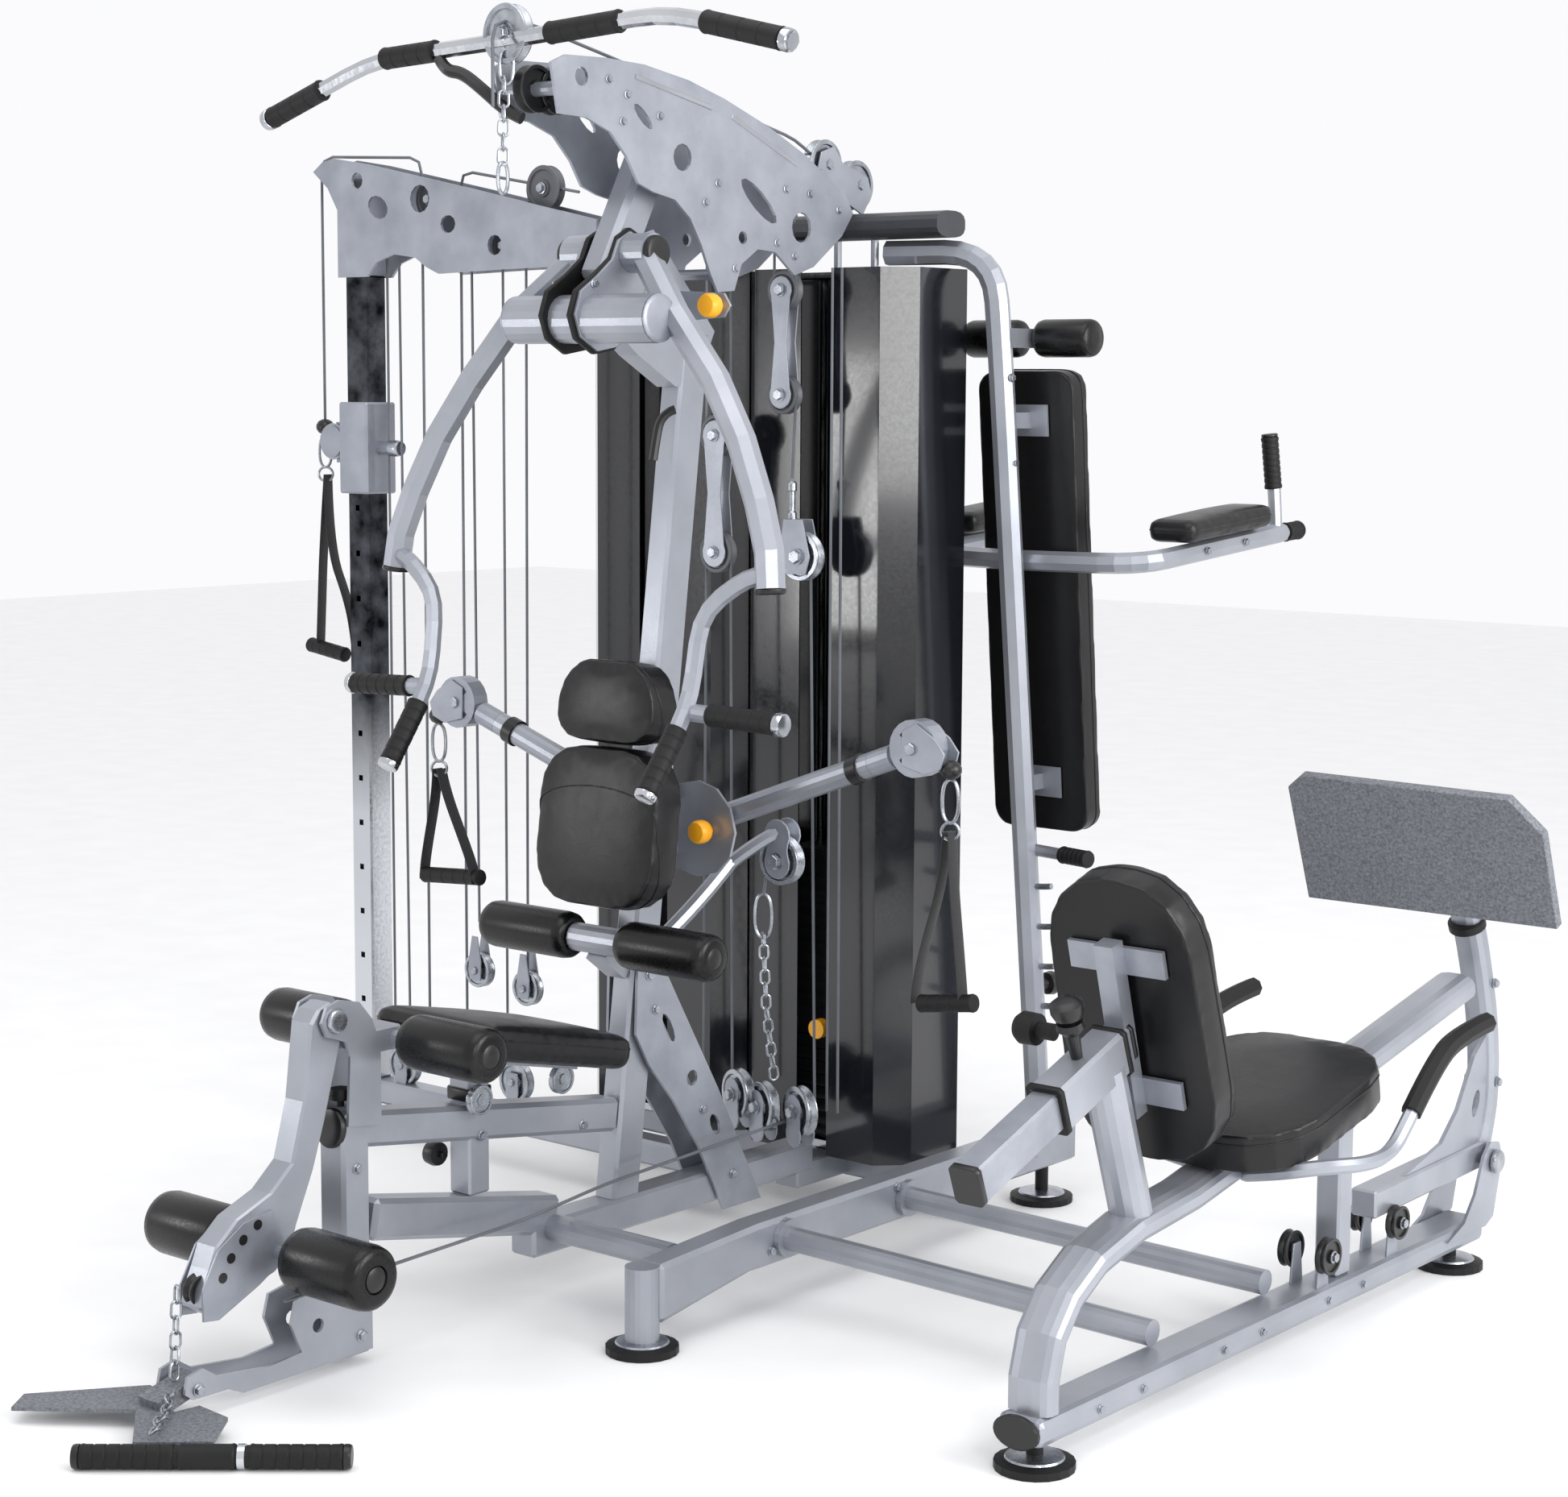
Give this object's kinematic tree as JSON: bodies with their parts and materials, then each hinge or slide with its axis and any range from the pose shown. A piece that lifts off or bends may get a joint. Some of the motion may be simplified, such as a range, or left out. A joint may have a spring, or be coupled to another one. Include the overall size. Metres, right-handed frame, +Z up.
{
  "type": "multi station home gym",
  "caption": "Tube-frame gym with guarded weight towers, press arms, lat boom, leg lever, low row, cable column, swing arms, knee-raise arms and a leg press.",
  "frame": {"origin": "floor level, middle of the footprint", "axes": "+Z up; the chest-press user faces -Y, the leg-press user faces +Y, +X runs from the cable column towards the leg press"},
  "size_m": [2.596, 2.6706, 2.2058],
  "materials": {
    "silver_frame": "satin metallic powder coat",
    "silver_plate": "satin metallic powder coat on laser-cut plate",
    "black_upholstery": "matte grained vinyl",
    "black_foam": "closed-cell foam with a skin",
    "black_rubber": "moulded rubber",
    "bright_chrome": "polished chrome plate",
    "black_guard": "gloss powder coat",
    "black_iron": "painted casting",
    "black_knob": "gloss moulded",
    "amber_knob": "gloss moulded",
    "grey_cable": "nylon-coated steel cable",
    "grey_plate": "textured powder coat"
  },
  "bodies": {
    "frame": {"base_rail_right": "silver_frame", "base_centre_frame": "silver_frame", "base_rail_leg_press": "silver_frame", "link_tube_front": "silver_frame", "link_tube_rear": "silver_frame", "foot_front": "black_rubber", "foot_rear": "black_rubber", "foot_leg_front": "black_rubber", "foot_leg_rear": "black_rubber", "seat_frame": "silver_frame", "main_upright": "silver_frame", "gusset_plates": "silver_plate", "boom_plates": "silver_plate", "rear_upright": "silver_frame", "tower_top_beam": "black_guard", "column_tube": "bright_chrome", "column_arm_plates": "silver_plate", "guard_left": "black_guard", "guard_right": "black_guard", "tower_frame_left": "bright_chrome", "tower_frame_right": "bright_chrome", "seat_pad": "black_upholstery", "back_pad": "black_upholstery", "head_pad": "black_upholstery", "thigh_roller_holder": "silver_frame", "knee_raise_arms": "silver_frame", "arm_pad_left": "black_upholstery", "arm_pad_right": "black_upholstery", "knee_back_pad": "black_upholstery", "leg_press_frame": "silver_frame", "leg_seat_pad": "black_upholstery", "cable_column": "grey_cable", "cable_high": "grey_cable", "cable_low": "grey_cable"},
    "press_arms": {"press_arm_left": "silver_frame", "press_arm_right": "silver_frame"},
    "stack_right": {"weight_stack_right": "black_iron"},
    "stack_left": {"weight_stack_left": "black_iron"},
    "pin_right": {"selector_pin_right": "amber_knob"},
    "pin_left": {"selector_pin_left": "amber_knob"},
    "lat_bar": {"lat_bar": "bright_chrome"},
    "leg_lever": {"leg_lever": "silver_frame"},
    "thigh_roller_left": {"thigh_roller_left": "black_foam"},
    "thigh_roller_right": {"thigh_roller_right": "black_foam"},
    "knee_roller_left": {"knee_roller_left": "black_foam"},
    "knee_roller_right": {"knee_roller_right": "black_foam"},
    "shin_roller_left": {"shin_roller_left": "black_foam"},
    "shin_roller_right": {"shin_roller_right": "black_foam"},
    "knee_head_roller": {"knee_head_roller": "black_foam"},
    "swing_arm_left": {"swing_arm_left": "silver_frame"},
    "swing_arm_right": {"swing_arm_right": "silver_frame"},
    "swivel_head_left": {"swivel_head_left": "silver_plate"},
    "swivel_head_right": {"swivel_head_right": "silver_plate"},
    "column_carriage": {"column_carriage": "silver_plate"},
    "leg_back": {"leg_back_slide": "silver_plate", "leg_back_pad": "black_upholstery"},
    "leg_back_knob": {"leg_back_knob": "black_knob"},
    "leg_press_lever": {"leg_press_lever": "silver_frame"},
    "row_foot_plate": {"row_foot_plate": "grey_plate"},
    "row_bar": {"row_bar": "black_rubber"}
  },
  "joints": [
    {"name": "press_arms_swing", "type": "hinge", "parent": "frame", "child": "press_arms", "pos_m": [-0.092, -0.07736, 1.83], "axis": [-1, 0, 0], "range_deg": [0, 35]},
    {"name": "stack_right_lift", "type": "slide", "parent": "frame", "child": "stack_right", "axis": [0, 0, 1], "range_m": [0, 0.45]},
    {"name": "stack_left_lift", "type": "slide", "parent": "frame", "child": "stack_left", "axis": [0, 0, 1], "range_m": [0, 0.35]},
    {"name": "pin_right_pull", "type": "slide", "parent": "stack_right", "child": "pin_right", "axis": [0, -1, 0], "range_m": [0, 0.04]},
    {"name": "pin_left_pull", "type": "slide", "parent": "stack_left", "child": "pin_left", "axis": [0, -1, 0], "range_m": [0, 0.04]},
    {"name": "lat_bar_pull", "type": "slide", "parent": "frame", "child": "lat_bar", "axis": [0, 0, -1], "range_m": [0, 0.8]},
    {"name": "leg_lever_swing", "type": "hinge", "parent": "frame", "child": "leg_lever", "pos_m": [-0.092, -0.77336, 0.584], "axis": [-1, 0, 0], "range_deg": [0, 75]},
    {"name": "swing_arm_left_turn", "type": "hinge", "parent": "frame", "child": "swing_arm_left", "pos_m": [-0.164, 0.10464, 0.806], "axis": [0, 1, 0], "range_deg": [-50, 35]},
    {"name": "swing_arm_right_turn", "type": "hinge", "parent": "frame", "child": "swing_arm_right", "pos_m": [-0.02, 0.10464, 0.806], "axis": [0, -1, 0], "range_deg": [-50, 35]},
    {"name": "swivel_head_left_turn", "type": "hinge", "parent": "swing_arm_left", "child": "swivel_head_left", "pos_m": [-0.547, 0.09264, 0.955], "axis": [-0.9399, -0.0302, 0.3402], "range_deg": [-120, 120]},
    {"name": "swivel_head_right_turn", "type": "hinge", "parent": "swing_arm_right", "child": "swivel_head_right", "pos_m": [0.363, 0.09264, 0.955], "axis": [0.9399, -0.0302, 0.3402], "range_deg": [-120, 120]},
    {"name": "column_carriage_slide", "type": "slide", "parent": "frame", "child": "column_carriage", "axis": [0, 0, 1], "range_m": [-1.05, 0.22]},
    {"name": "leg_back_adjust", "type": "slide", "parent": "frame", "child": "leg_back", "axis": [0, 0.9397, 0.342], "range_m": [0, 0.08]},
    {"name": "leg_back_knob_pull", "type": "slide", "parent": "frame", "child": "leg_back_knob", "axis": [0, -0.342, 0.9397], "range_m": [0, 0.012], "stiffness_N_per_m": 400},
    {"name": "leg_press_swing", "type": "hinge", "parent": "frame", "child": "leg_press_lever", "pos_m": [1.053, 1.02264, 0.19], "axis": [-1, 0, 0], "range_deg": [0, 30]},
    {"name": "row_foot_plate_fold", "type": "hinge", "parent": "frame", "child": "row_foot_plate", "pos_m": [-0.092, -1.06736, 0.048], "axis": [-1, 0, 0], "range_deg": [0, 80]},
    {"name": "row_bar_lift", "type": "slide", "parent": "frame", "child": "row_bar", "axis": [0, 0, 1], "range_m": [0, 0.4]},
    {"name": "thigh_roller_left_spin", "type": "hinge", "parent": "frame", "child": "thigh_roller_left", "pos_m": [-0.092, -0.11536, 0.618], "axis": [1, 0, 0], "continuous": true},
    {"name": "knee_roller_left_spin", "type": "hinge", "parent": "frame", "child": "knee_roller_left", "pos_m": [-0.092, -0.64536, 0.536], "axis": [1, 0, 0], "continuous": true},
    {"name": "shin_roller_left_spin", "type": "hinge", "parent": "leg_lever", "child": "shin_roller_left", "pos_m": [-0.092, -0.89436, 0.227], "axis": [1, 0, 0], "continuous": true},
    {"name": "thigh_roller_right_spin", "type": "hinge", "parent": "frame", "child": "thigh_roller_right", "pos_m": [-0.092, -0.11536, 0.618], "axis": [1, 0, 0], "continuous": true},
    {"name": "knee_roller_right_spin", "type": "hinge", "parent": "frame", "child": "knee_roller_right", "pos_m": [-0.092, -0.64536, 0.536], "axis": [1, 0, 0], "continuous": true},
    {"name": "shin_roller_right_spin", "type": "hinge", "parent": "leg_lever", "child": "shin_roller_right", "pos_m": [-0.092, -0.89436, 0.227], "axis": [1, 0, 0], "continuous": true},
    {"name": "knee_head_roller_spin", "type": "hinge", "parent": "frame", "child": "knee_head_roller", "pos_m": [0.208, 0.77264, 1.695], "axis": [1, 0, 0], "continuous": true}
  ],
  "couplings": [
    {"joint": "press_arms_swing", "follows": "stack_right_lift", "rad_per_m": 1.357},
    {"joint": "leg_press_swing", "follows": "stack_left_lift", "rad_per_m": 1.4955}
  ]
}
